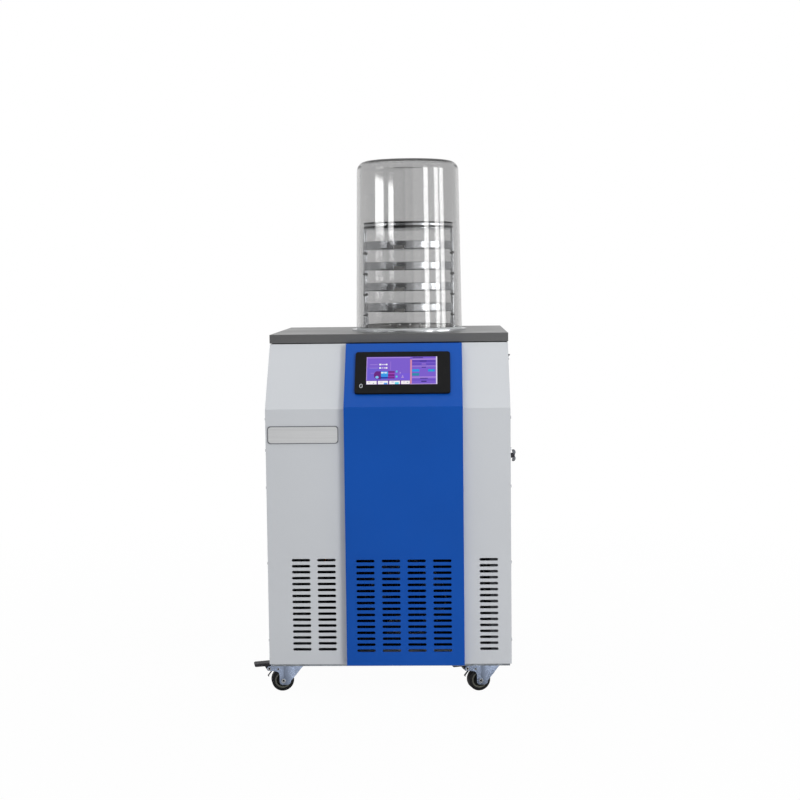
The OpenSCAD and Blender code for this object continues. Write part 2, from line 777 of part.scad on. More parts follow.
// Brake pedal: a lever on a hub, with a bent blade whose toe comes down on the tyre
module pedal(place) color(BLACK) at_axle(place) translate(pivot) difference() {
    union() {
        cylinder(r = 5, h = pedal_w, center = true);
        linear_extrude(pedal_w, center = true)
            polygon([[tip_x, 6.5], [tip_x, 11], [tip_x + 2, 12.5], [4, 14], [4, 0], [2, -6], [-3.5, -7],
                [-11.5, 5.5], [tip_x + 2, 5]]);
        linear_extrude(blade_w, center = true)
            polygon([[0.8, 0.7], [9.9, -9.6], [-0.6, -22.4], [0.7, -23.9], [-1.1, -25.3],
                [-3.2, -22.6], [7.1, -9.8], [-0.8, -0.7]]);
    }
    cylinder(r = pedal_pin_r + running, h = 80, center = true);
}

floor_pan();
frame_posts();
frame_rails();
front_panel_left();
front_panel_right();
blue_panel();
side_panel_left();
side_panel_right();
rear_panel();
panel_screws();
worktop_gasket();
worktop();
badge_plate();
screen_housing();
screen_display();
usb_port();
control_box();
cold_trap();
evaporator_coil();
trap_insulation();
chamber_seal();
bell_jar();
rack_base();
rack_rods();
rack_top_plate();
tray(1);  // tray_1
tray(2);  // tray_2
tray(3);  // tray_3
tray(4);  // tray_4
compressor();
condenser();
fan_shroud();
fan_motor();
fan_blades();
refrigerant_pipes();
vacuum_line();
vent_valve();
vent_handle();
power_switch();
power_rocker();
power_inlet();
caster_plates();
fork(front_left, true);  // fork_front_left
fork(front_right, true);  // fork_front_right
fork(rear_left);  // fork_rear_left
fork(rear_right);  // fork_rear_right
hub(front_left);  // hub_front_left
hub(front_right);  // hub_front_right
hub(rear_left);  // hub_rear_left
hub(rear_right);  // hub_rear_right
tyre(front_left);  // tyre_front_left
tyre(front_right);  // tyre_front_right
tyre(rear_left);  // tyre_rear_left
tyre(rear_right);  // tyre_rear_right
axle(front_left);  // axle_front_left
axle(front_right);  // axle_front_right
axle(rear_left);  // axle_rear_left
axle(rear_right);  // axle_rear_right
pedal(front_left);  // pedal_front_left
pedal(front_right);  // pedal_front_right
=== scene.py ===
import json
import math

import bmesh
import bpy
from mathutils import Matrix, Vector

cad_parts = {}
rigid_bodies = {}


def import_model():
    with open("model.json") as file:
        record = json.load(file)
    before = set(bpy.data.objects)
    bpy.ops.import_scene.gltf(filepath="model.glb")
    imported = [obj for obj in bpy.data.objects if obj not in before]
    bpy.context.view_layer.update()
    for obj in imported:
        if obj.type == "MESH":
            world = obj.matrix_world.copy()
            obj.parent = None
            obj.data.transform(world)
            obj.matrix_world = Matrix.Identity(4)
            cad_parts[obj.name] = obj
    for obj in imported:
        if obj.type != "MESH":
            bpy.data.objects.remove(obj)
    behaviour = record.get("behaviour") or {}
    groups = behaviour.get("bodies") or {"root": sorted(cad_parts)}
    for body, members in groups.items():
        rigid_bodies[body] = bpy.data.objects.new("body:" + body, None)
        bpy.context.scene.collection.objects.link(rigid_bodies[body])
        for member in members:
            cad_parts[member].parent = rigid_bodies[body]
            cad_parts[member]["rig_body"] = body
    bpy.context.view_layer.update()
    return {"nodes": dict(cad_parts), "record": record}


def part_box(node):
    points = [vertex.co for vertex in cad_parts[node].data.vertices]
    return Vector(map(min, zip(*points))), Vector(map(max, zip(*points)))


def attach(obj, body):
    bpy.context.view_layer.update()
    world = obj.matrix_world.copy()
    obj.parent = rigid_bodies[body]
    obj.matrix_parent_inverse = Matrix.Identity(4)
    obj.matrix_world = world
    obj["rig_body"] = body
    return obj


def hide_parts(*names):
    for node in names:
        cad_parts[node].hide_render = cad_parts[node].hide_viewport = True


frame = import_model()
nodes = frame["nodes"]
bodyOf = {node: obj["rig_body"] for node, obj in nodes.items()}
slotOf = {part["node"]: part["material_slot"] for part in frame["record"]["subparts"]}
mm = 0.001
weld = 1e-6  # points closer than this are one
origin = (0, 0, 0)
whiteLight = (1, 1, 1, 1)
print("frame loaded:", len(nodes), "nodes")


def srgb(red, green, blue):  # screen values 0-255 to a linear colour
    linear = [c / 3294.6 if c <= 10 else ((c / 255 + 0.055) / 1.055) ** 2.4 for c in (red, green, blue)]
    return (*linear, 1.0)


class Wire:  # one output socket, used as a number in expressions
    def __init__(self, finish, socket):
        self.finish = finish
        self.socket = socket

    def math(self, operation, *values):
        return self.finish.node("Math", {"operation": operation}, dict(enumerate(values)))

    def __add__(self, other):
        return self.math("ADD", self, other)

    def __sub__(self, other):
        return self.math("SUBTRACT", self, other)

    def __rsub__(self, other):
        return self.math("SUBTRACT", other, self)

    def __mul__(self, other):
        return self.math("MULTIPLY", self, other)

    def __truediv__(self, other):
        return self.math("DIVIDE", self, other)

    def maximum(self, other):
        return self.math("MAXIMUM", self, other)

    def minimum(self, other):
        return self.math("MINIMUM", self, other)

    def ramp(self, low, high, start=0.0, end=1.0):  # start below low, end above high
        return self.finish.node("MapRange", {"clamp": True}, {0: self, 1: low, 2: high, 3: start, 4: end})


class Finish:  # one material and its nodes
    def __init__(self, name, **constants):
        self.material = bpy.data.materials.new(name)
        self.material.use_nodes = True
        self.tree = self.material.node_tree
        self.shader = self.tree.nodes["Principled BSDF"]
        self.output = self.tree.nodes["Material Output"]
        for key, value in constants.items():
            self.shader.inputs[socketNames.get(key, key.capitalize())].default_value = value

    def node(self, kind, settings=None, sockets=None, out=0):
        made = self.tree.nodes.new("ShaderNode" + kind)
        for key, value in (settings or {}).items():
            setattr(made, key, value)
        for key, value in (sockets or {}).items():
            if isinstance(value, Wire):
                self.tree.links.new(value.socket, made.inputs[key])
            else:
                made.inputs[key].default_value = value
        return Wire(self, made.outputs[out])

    def place(self, scale=(1, 1, 1), centre=origin):  # object coordinates, moved then scaled
        coords = self.node("TexCoord", out="Object")
        moved = self.node("VectorMath", {"operation": "SUBTRACT"}, {0: coords, 1: centre})
        return self.node("Mapping", {"vector_type": "POINT"}, {"Vector": moved, "Scale": scale})

    def part(self, vector, index):  # the vector's x, y or z
        return self.node("SeparateXYZ", None, {0: vector}, out=index)

    def size(self, vector):  # the vector's length
        return self.node("VectorMath", {"operation": "LENGTH"}, {0: vector}, out="Value")

    def noise(self, vector, scale, detail=3.0, roughness=0.5, distortion=0.0):
        sockets = {"Vector": vector, "Scale": scale, "Detail": detail, "Roughness": roughness}
        sockets["Distortion"] = distortion
        return self.node("TexNoise", None, sockets, out="Fac")

    def mix(self, factor, first, second, blend="MIX"):
        sockets = {0: factor, 6: first, 7: second}
        return self.node("Mix", {"data_type": "RGBA", "blend_type": blend}, sockets, out=2)

    def grey(self, value):  # a number as a colour
        return self.node("CombineColor", None, {0: value, 1: value, 2: value})

    def ray(self, kind):  # 1 on rays of this kind
        return self.node("LightPath", out=f"Is {kind} Ray")

    def light(self, kind, strength, colour=whiteLight):
        return self.node(kind, None, {"Color": colour, "Strength": strength})

    def mixShader(self, factor, first, second):
        return self.node("MixShader", None, {0: factor, 1: first, 2: second})

    def feed(self, socket, value):
        self.tree.links.new(value.socket, self.shader.inputs[socket])
        return self

    def relief(self, height, distance):
        return self.feed("Normal", self.node("Bump", None, {"Height": height, "Distance": distance}))


socketNames = {
    "colour": "Base Color", "specular": "Specular IOR Level", "transmission": "Transmission Weight",
    "ior": "IOR", "glow": "Emission Strength",
}


def shade(colour, factor):  # the colour made darker or lighter
    return (*[min(1.0, c * factor) for c in colour[:3]], 1.0)


def powderCoat(name, colour, roughness, grain, spread):  # fine leathery paint with slow tone drift
    made = Finish(name, colour=colour, roughness=roughness, specular=0.2)
    at = made.place()
    slow = made.noise(at, 3.5, detail=2.0)
    fleck = made.noise(at, 700.0, detail=2.0, roughness=0.6)
    tone = made.mix(slow.ramp(0.3, 0.7), shade(colour, 1 - spread), shade(colour, 1 + spread))
    tone = made.mix(fleck.ramp(0.62, 0.8, 0.0, 0.35), tone, shade(colour, 0.8))
    made.feed("Base Color", tone)
    made.feed("Roughness", made.noise(at, 60.0).ramp(0.25, 0.75, roughness - 0.05, roughness + 0.07))
    return made.relief(made.noise(at, 900.0, detail=2.0, roughness=0.55), grain)


def brushed(name, colour, roughness, stretch, broad=0.18, depth=0.00004):  # lines drawn one way
    made = Finish(name, colour=colour, metallic=1.0, roughness=roughness)
    lines = made.noise(made.place(stretch), 1.0, detail=4.0, roughness=0.65)
    wide = made.noise(made.place([s * broad for s in stretch]), 1.0, detail=2.0)
    smudge = made.noise(made.place(), 9.0)
    both = lines * 0.7 + wide * 0.3
    made.feed("Base Color", made.mix(both.ramp(0.3, 0.7), shade(colour, 0.88), shade(colour, 1.08)))
    made.feed("Roughness", (both + smudge * 0.35).ramp(0.4, 0.95, roughness - 0.08, roughness + 0.12))
    return made.relief(lines, depth)


def turned(name, colour, roughness, fineness=1400.0, depth=0.00003):  # lines round the chamber's axis
    made = Finish(name, colour=colour, metallic=1.0, roughness=roughness)
    at = made.place(centre=chamberAxis)
    flat = made.node("VectorMath", {"operation": "MULTIPLY"}, {0: at, 1: (1, 1, 0)})
    radius, height = made.size(flat), made.part(at, 2)
    rings = made.node("CombineXYZ", None, {0: radius * fineness, 1: height * fineness})
    lines = made.noise(rings, 1.0, roughness=0.6)
    smudge = made.noise(made.place(), 14.0, roughness=0.55)
    made.feed("Base Color", made.mix(lines.ramp(0.3, 0.7), shade(colour, 0.86), shade(colour, 1.06)))
    made.feed("Roughness", (lines * 0.5 + smudge * 0.5).ramp(0.3, 0.7, roughness - 0.07, roughness + 0.1))
    return made.relief(lines, depth)


def moulded(name, colour, roughness, scale=1100.0, depth=0.00005, **extra):  # plastic and rubber skins
    made = Finish(name, colour=colour, roughness=roughness, **extra)
    at = made.place()
    slow = made.noise(at, 12.0)
    made.feed("Base Color", made.mix(slow.ramp(0.3, 0.7), shade(colour, 0.88), shade(colour, 1.15)))
    patch = made.noise(at, 40.0, detail=4.0)
    made.feed("Roughness", patch.ramp(0.3, 0.7, roughness - 0.06, roughness + 0.08))
    return made.relief(made.noise(at, scale, detail=2.0, roughness=0.6), depth)


def polished(name, colour, roughness, depth=0.00004):  # plated steel and drawn tube
    made = Finish(name, colour=colour, metallic=1.0, roughness=roughness)
    at = made.place()
    cloud = made.noise(at, 30.0, detail=4.0, roughness=0.6)
    scuffs = made.noise(at, 260.0, roughness=0.7, distortion=0.4)
    made.feed("Base Color", made.mix(cloud.ramp(0.3, 0.7), shade(colour, 0.82), shade(colour, 1.08)))
    made.feed("Roughness", (cloud + scuffs * 0.5).ramp(0.5, 1.0, roughness - 0.05, roughness + 0.15))
    return made.relief(scuffs, depth)


def spangled(name, colour, roughness, depth=0.00004):  # galvanised sheet with its crystal patches
    made = Finish(name, colour=colour, metallic=0.9, roughness=roughness)
    at = made.place()
    crystal = made.node("TexVoronoi", {"feature": "F1"}, {"Vector": at, "Scale": 95.0}, out="Color")
    tone = made.node("SeparateColor", None, {0: crystal}, out=0)
    made.feed("Base Color", made.mix(tone, shade(colour, 0.8), shade(colour, 1.1)))
    made.feed("Roughness", tone.ramp(0.0, 1.0, roughness - 0.1, roughness + 0.12))
    return made.relief(made.noise(at, 300.0), depth)


def speckled(name, colour, roughness, depth=0.00006):  # solid worktop laminate
    made = Finish(name, colour=colour, roughness=roughness, specular=0.65)
    at = made.place()
    fine = made.noise(at, 1500.0, detail=2.0, roughness=0.7)
    grit = made.noise(at, 420.0, roughness=0.7)
    slow = made.noise(at, 5.0, detail=2.0)
    tone = made.mix(fine.ramp(0.4, 0.65), shade(colour, 0.86), shade(colour, 1.1))
    tone = made.mix(grit.ramp(0.6, 0.72, 0.0, 0.5), tone, shade(colour, 0.62))
    tone = made.mix(slow.ramp(0.3, 0.7, 0.0, 0.25), tone, shade(colour, 1.12))
    made.feed("Base Color", tone)
    made.feed("Roughness", slow.ramp(0.3, 0.7, roughness - 0.05, roughness + 0.06))
    return made.relief(grit, depth)


def foamed(name, colour, depth=0.0006):  # cut foam, open cells
    made = Finish(name, colour=colour, roughness=0.9)
    at = made.place()
    cell = made.node("TexVoronoi", {"feature": "F1"}, {"Vector": at, "Scale": 320.0}, out="Distance")
    made.feed("Base Color", made.mix(cell.ramp(0.1, 0.7), shade(colour, 0.8), shade(colour, 1.05)))
    return made.relief(cell, depth)


def clearWall(name, colour):  # clear plastic with a faint haze
    made = Finish(name, colour=colour, roughness=0.006, transmission=1.0, ior=1.49, specular=0.5)
    haze = made.noise(made.place((1, 1, 0.3)), 25.0, detail=4.0, roughness=0.6)
    made.feed("Roughness", haze.ramp(0.45, 0.8, 0.0, 0.014))
    return made


def wheelPlastic(name, colour, dark, roughness):  # pale rim, dark web
    made = moulded(name, colour, roughness, specular=0.25)
    rim = made.node("VertexColor", {"layer_name": "rim"}, out="Color")
    mould = made.noise(made.place(), 60.0).ramp(0.3, 0.7, 0.85, 1.1)
    tint = made.grey(mould)
    return made.feed("Base Color", made.mix(1.0, made.mix(rim, dark, colour), tint, "MULTIPLY"))


lowAxis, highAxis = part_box("bell_jar")
chamberAxis = ((lowAxis.x + highAxis.x) / 2, (lowAxis.y + highAxis.y) / 2, 0.0)

finishes = {
    "white_paint": powderCoat("whitePowderCoat", srgb(201, 203, 206), 0.45, 0.00006, 0.015),
    "blue_paint": powderCoat("bluePowderCoat", srgb(4, 76, 166), 0.45, 0.00006, 0.04),
    "worktop": speckled("greyLaminate", srgb(88, 88, 88), 0.33),
    # also colours the top plate's black beads, which are painted shade and painted dark reflection
    "black_rubber": moulded("blackRubber", srgb(30, 30, 31), 0.7, 600.0, 0.0001, specular=0.2),
    "silicone": moulded("paleSilicone", srgb(196, 198, 198), 0.45, 700.0, 0.00006, specular=0.3),
    "brushed_plate": brushed("brushedPlate", srgb(214, 215, 216), 0.42, (6, 900, 900)),
    "black_plastic": moulded("blackPlastic", srgb(15, 15, 16), 0.5, specular=0.12),
    "display": moulded("screenGlass", srgb(12, 12, 14), 0.3, specular=0.1),
    "stainless": turned("stainless", srgb(206, 208, 211), 0.17),
    "satin_steel": polished("satinSteel", srgb(214, 214, 212), 0.5),
    "bright_metal": polished("brightMetal", srgb(190, 193, 198), 0.2),
    "clear_acrylic": clearWall("clearAcrylic", srgb(206, 206, 206)),
    "foam": foamed("insulatingFoam", srgb(226, 216, 178)),
    "copper": polished("drawnCopper", srgb(205, 128, 88), 0.24),
    # also colours the black discs in the axle and pin recesses, which are painted shade
    "black_enamel": moulded("blackEnamel", srgb(9, 9, 10), 0.35, 200.0, 0.00008, specular=0.15),
    "galvanised": spangled("galvanisedSheet", srgb(150, 155, 160), 0.42),
    "frame_paint": powderCoat("greyPrimer", srgb(108, 110, 114), 0.55, 0.00008, 0.05),
    "zinc_plate": polished("zincPlate", srgb(156, 169, 193), 0.24),
    "grey_plastic": wheelPlastic("greyPolypropylene", srgb(98, 98, 90), srgb(40, 41, 40), 0.45),
    "tyre_rubber": moulded("tyreRubber", srgb(24, 24, 25), 0.6, 500.0, 0.0001, specular=0.25),
    "pedal_plastic": moulded("pedalNylon", srgb(48, 46, 50), 0.5, specular=0.25),
}
print("finishes made:", len(finishes))


def addPiece(name, bm, slot, body, replaced=(), sharp=32, closeUp=False):
    if closeUp:
        bmesh.ops.remove_doubles(bm, verts=bm.verts, dist=weld)
        bmesh.ops.recalc_face_normals(bm, faces=bm.faces)
    mesh = bpy.data.meshes.new(name)
    bm.to_mesh(mesh)
    bm.free()
    mesh.shade_smooth()
    mesh.set_sharp_from_angle(angle=math.radians(sharp))
    piece = bpy.data.objects.new(name, mesh)
    bpy.context.scene.collection.objects.link(piece)
    mesh.materials.append(finishes[slot].material)
    if replaced:
        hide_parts(*replaced)
    weighted = piece.modifiers.new("evenShading", "WEIGHTED_NORMAL")
    weighted.keep_sharp = True
    weighted.weight = 100
    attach(piece, body)
    return piece


def camel(node):  # a node's name as the name of a piece
    first, *others = node.split("_")
    return first + "".join(word.capitalize() for word in others)


def rounded(bm, edges, width, segments, clamp=False):  # rounds the edges over, width in mm
    bmesh.ops.bevel(
        bm, geom=edges, offset=width * mm, offset_type="OFFSET", affect="EDGES", segments=segments,
        profile=0.5, material=-1, clamp_overlap=clamp,
    )


def copyOf(node, flatten=True):  # the node's mesh, its flat faces whole again
    bm = bmesh.new()
    bm.from_mesh(nodes[node].data)
    bmesh.ops.remove_doubles(bm, verts=bm.verts, dist=weld)
    if flatten:
        bmesh.ops.dissolve_limit(bm, angle_limit=math.radians(0.6), verts=bm.verts, edges=bm.edges)
    return bm


def softened(node, width, segments=2, angle=30, sharp=50):
    bm = copyOf(node, node != "worktop")  # the worktop's round hole would be lost with its triangles
    crisp = [e for e in bm.edges if len(e.link_faces) == 2 and e.calc_face_angle() > math.radians(angle)]
    rounded(bm, crisp, width, segments, clamp=True)
    addPiece(camel(node), bm, slotOf[node], bodyOf[node], [node], sharp)


edgeWidths = {  # mm of rounding on each node that keeps its shape
    "front_panel_left": 0.7, "front_panel_right": 0.7, "blue_panel": 0.7, "side_panel_left": 0.7,
    "side_panel_right": 0.7, "rear_panel": 0.4, "worktop": 1.5, "floor_pan": 0.5,
    "frame_posts": 2.5, "frame_rails": 2.5, "control_box": 1.0, "screen_housing": 1.2,
    "caster_plates": 0.5, "fork_front_left": 0.7, "fork_front_right": 0.7, "fork_rear_left": 0.7,
    "fork_rear_right": 0.7, "pedal_front_left": 1.5, "pedal_front_right": 1.5,
    "power_switch": 0.5, "power_rocker": 0.4, "power_inlet": 0.6, "fan_motor": 1.0, "compressor": 1.5,
}
for node, width in edgeWidths.items():
    softened(node, width)
print("edges rounded:", len(edgeWidths))

for node, obj in nodes.items():
    obj.data.materials.clear()
    obj.data.materials.append(finishes[slotOf[node]].material)


# a profile of radius and height in mm, spun about an upright axis
def spinProfile(points, steps=96, closed=True, centre=chamberAxis):
    bm = bmesh.new()
    verts = [bm.verts.new((r * mm, 0, z * mm)) for r, z in points]
    ends = list(zip(verts, verts[1:] + verts[:1])) if closed else list(zip(verts, verts[1:]))
    edges = [bm.edges.new(pair) for pair in ends]
    bmesh.ops.spin(
        bm, geom=verts + edges, cent=origin, axis=(0, 0, 1), angle=2 * math.pi, steps=steps,
        use_merge=True, use_duplicate=False,
    )
    bmesh.ops.remove_doubles(bm, verts=bm.verts, dist=weld)
    bmesh.ops.recalc_face_normals(bm, faces=bm.faces)
    bmesh.ops.translate(bm, verts=bm.verts, vec=Vector(centre))
    return bm


def joinInto(whole, part, matrix=Matrix()):  # moves the part into place and adds it to the whole
    bmesh.ops.transform(part, matrix=matrix, verts=part.verts)
    joined = bpy.data.meshes.new("joined")
    part.to_mesh(joined)
    part.free()
    whole.from_mesh(joined)
    bpy.data.meshes.remove(joined)


def roundedBlock(size, corner, soft):  # slab with rounded corners and a softened upper edge, in mm
    bm = bmesh.new()
    bmesh.ops.create_cube(bm, size=1)
    bmesh.ops.scale(bm, vec=[s * mm for s in size], verts=bm.verts)
    upright = [e for e in bm.edges if abs(e.verts[0].co.z - e.verts[1].co.z) > 0.5 * size[2] * mm]
    rounded(bm, upright, corner, 6)
    upper = next(f for f in bm.faces if f.normal.z > 0.9)
    rounded(bm, list(upper.edges), soft, 2)
    return bm


def sink(bm, face, wall, depth, draft):  # a recess in one face with a wall left round it, in mm
    bmesh.ops.inset_individual(bm, faces=[face], thickness=wall * mm, depth=0)
    bmesh.ops.inset_individual(bm, faces=[face], thickness=draft * mm, depth=-depth * mm)


def turnedTo(direction, place):  # matrix that points a part's z along the direction and moves it
    return Matrix.Translation(place) @ Vector((0, 0, 1)).rotation_difference(direction).to_matrix().to_4x4()


def arc(cx, cz, radius, start, end, steps):  # points of an arc in the profile, degrees
    turn = [start + (end - start) * i / steps for i in range(steps + 1)]
    return [(cx + radius * math.cos(math.radians(a)), cz + radius * math.sin(math.radians(a))) for a in turn]


def circle(radius, steps):  # points of a whole circle, the first not repeated
    return arc(0, 0, radius, 0, 360, steps)[:-1]


# bell: open at the foot, its wall drawn in a little towards one smooth shoulder
bell = {"wall": 8.0, "round": 26.0, "inside": 10.0, "steps": 128, "topInset": 6.5, "edge": 1.0}
low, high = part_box("bell_jar")
foot = low.z / mm
top = high.z / mm
under = top - bell["wall"]
outer = (high.x - low.x) / 2 / mm
bore = outer - bell["wall"]
shoulder = outer - bell["topInset"]
rounding, inside, edge = bell["round"], bell["inside"], bell["edge"]
profile = [(0, under)] + arc(shoulder - bell["wall"] - inside, under - inside, inside, 0, 90, 10)[::-1]
profile += [(bore, foot + edge), (bore + edge, foot), (outer - edge, foot), (outer, foot + edge)]
profile += arc(shoulder - rounding, top - rounding, rounding, 0, 90, 14) + [(0, top)]
bm = spinProfile(profile, bell["steps"], closed=False)
addPiece("bellJar", bm, "clear_acrylic", "cabinet", ["bell_jar"], sharp=50)

# trays with a rolled rim, each with a tab at the front
tray = {"radius": 118.0, "foot": 1.0, "wall": 1.2, "rim": 1.5, "rimDrop": 4.0, "corner": 4.0}
trayTab = {"size": (28, 3.4, 10), "soft": 1.2, "tilt": -4, "bearing": -11, "height": 4.6, "sunk": 0.2}
radius, wall, bead, corner = tray["radius"], tray["wall"], tray["rim"], tray["corner"]
tilt = Matrix.Rotation(math.radians(trayTab["tilt"]), 4, "X")
turn = Matrix.Rotation(math.radians(trayTab["bearing"]), 4, "Z")
tabs = bmesh.new()
for number in range(1, 5):
    low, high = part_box(f"tray_{number}")
    base = low.z / mm + tray["foot"]
    rim = high.z / mm
    side = rim - tray["rimDrop"]
    profile = [(0, base)] + arc(radius - corner, base + corner, corner, -90, 0, 5)
    profile += [(radius, side)] + arc(radius - bead, rim - bead, bead, 0, 180, 8)
    profile += [(radius - 2 * bead, side), (radius - wall, side - 1)]
    profile += arc(radius - corner, base + corner, corner - wall, 0, -90, 5) + [(0, base + wall)]
    bm = spinProfile(profile, 96, closed=False)
    tab = bmesh.new()
    bmesh.ops.create_cube(tab, size=1)
    bmesh.ops.scale(tab, vec=[s * mm for s in trayTab["size"]], verts=tab.verts)
    rounded(tab, list(tab.edges), trayTab["soft"], 3)
    out = Matrix.Translation((0, -(radius - trayTab["sunk"]) * mm, (base + trayTab["height"]) * mm))
    joinInto(tabs, tab, Matrix.Translation(chamberAxis) @ turn @ out @ tilt)
    addPiece(f"tray{number}", bm, "stainless", "cabinet", [f"tray_{number}"])
addPiece("trayTabs", tabs, "satin_steel", "cabinet")

# rack rods with a seat and a dark ball nut under each tray, and two black beads round the top plate's edge
# as painted shade and painted dark reflection
rack = {
    "ring": 122.0, "angles": (-100, -80, 80, 100), "rod": 3.0, "seat": 5.4, "seatDepth": 3.0,
    "nut": 5.0, "nutBelow": 10.0, "nutHalf": 4.5, "foot": 7.0, "footHeight": 6.0,
}
low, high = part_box("rack_rods")
start, end = low.z / mm, high.z / mm
rod, seat, foot = rack["rod"], rack["seat"], rack["foot"]
footTop = start + rack["footHeight"]
rodLine = [(0, start), (foot, start), (foot, footTop - 0.5), (foot - 0.5, footTop)]
nutLines = []
for number in range(1, 5):
    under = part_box(f"tray_{number}")[0].z / mm + tray["foot"]
    seatFoot = under - rack["seatDepth"]
    rodLine += [(rod, seatFoot - 0.2), (seat, seatFoot)]
    rodLine += [(seat, under - 0.4), (seat - 0.4, under), (rod, under)]
    middle = under - rack["nutBelow"]
    barrel = arc(rod - 1, middle, rack["nut"] - rod + 1, -60, 60, 8)
    nutEnds = [(rod - 0.5, middle + side * rack["nutHalf"]) for side in (-1, 1)]
    nutLines.append(nutEnds[:1] + barrel + nutEnds[1:])
rodLine += [(rod, end), (0, end)]
rods = bmesh.new()
nuts = bmesh.new()
for angle in rack["angles"]:
    turn = math.radians(angle)
    place = Vector(chamberAxis) + Vector((math.sin(turn), -math.cos(turn), 0)) * rack["ring"] * mm
    joinInto(rods, spinProfile(rodLine, 20, False, place))
    for line in nutLines:
        joinInto(nuts, spinProfile(line, 24, True, place))
addPiece("rackRods", rods, "stainless", "cabinet", ["rack_rods"], sharp=40)
addPiece("rackNuts", nuts, "black_rubber", "cabinet")
topPlate = {"radius": 121.0, "wall": 1.5, "sheet": 2.0, "beadOut": 1.4}
paintedShadeBeadRows = [(5.0, 3.2), (16.2, 2.4)]  # height above the sheet's underside, then half the height of the bead
low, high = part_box("rack_top_plate")
radius, base, lip = topPlate["radius"], low.z / mm, high.z / mm
inner = radius - topPlate["wall"]
deck = base + topPlate["sheet"]
plateLine = [(0, base), (radius - 1, base), (radius, base + 1), (radius, lip - 1), (radius - 0.4, lip)]
plateLine += [(inner + 0.4, lip), (inner, lip - 1), (inner, deck + 0.5), (inner - 0.5, deck), (0, deck)]
bm = spinProfile(plateLine, 128, False)
addPiece("rackTopPlate", bm, "stainless", "cabinet", ["rack_top_plate"], sharp=40)
# black beads round the plate's rim: painted shade and painted dark reflection
paintedShadeBeads = bmesh.new()
for height, half in paintedShadeBeadRows:
    line = [(radius + topPlate["beadOut"] * c, base + height + half * s) for c, s in circle(1, 16)]
    joinInto(paintedShadeBeads, spinProfile(line, 128))
addPiece("topPlateBeads", paintedShadeBeads, "black_rubber", "cabinet")
print("chamber pieces made")

# vent knob: two domed wings that lean out from a dark hub, about the valve's spindle
knob = {"wing": 7.4, "thick": 8.6, "apart": 8.2, "lean": 14, "lift": 4.2}
knobHub = {"radius": 6.6, "bore": 4.2, "depth": 9.5, "edge": 1.0}
low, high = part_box("vent_handle")
spindle = Vector((low.x, (low.y + high.y) / 2, (low.z + high.z) / 2))
radius, thick = knob["wing"], knob["thick"]
wingLine = [(0, 0), (radius - 2.2, 0), (radius - 0.6, 0.8), (radius, 2.4), (radius - 0.3, thick * 0.5)]
wingLine += [(radius - 1.8, thick * 0.78), (radius - 4.2, thick * 0.95), (0, thick)]
wings = bmesh.new()
for side in (-1, 1):
    outward = Matrix.Rotation(math.radians(-side * knob["lean"]), 3, "Y") @ Vector((1, 0, 0))
    place = spindle + Vector((knob["lift"] * mm, 0, side * knob["apart"] * mm))
    joinInto(wings, spinProfile(wingLine, 32, False, origin), turnedTo(outward, place))
addPiece("ventWings", wings, "frame_paint", "vent_handle", ["vent_handle"], sharp=60)
radius, bore, depth = knobHub["radius"], knobHub["bore"], knobHub["depth"]
edge = knobHub["edge"]
hubLine = [(bore, 0), (radius, 0), (radius, depth - edge), (radius - edge, depth), (bore, depth)]
hub = bmesh.new()
joinInto(hub, spinProfile(hubLine, 32, True, origin), turnedTo(Vector((1, 0, 0)), spindle))
addPiece("ventHub", hub, "pedal_plastic", "vent_handle", sharp=40)
print("vent knob made")

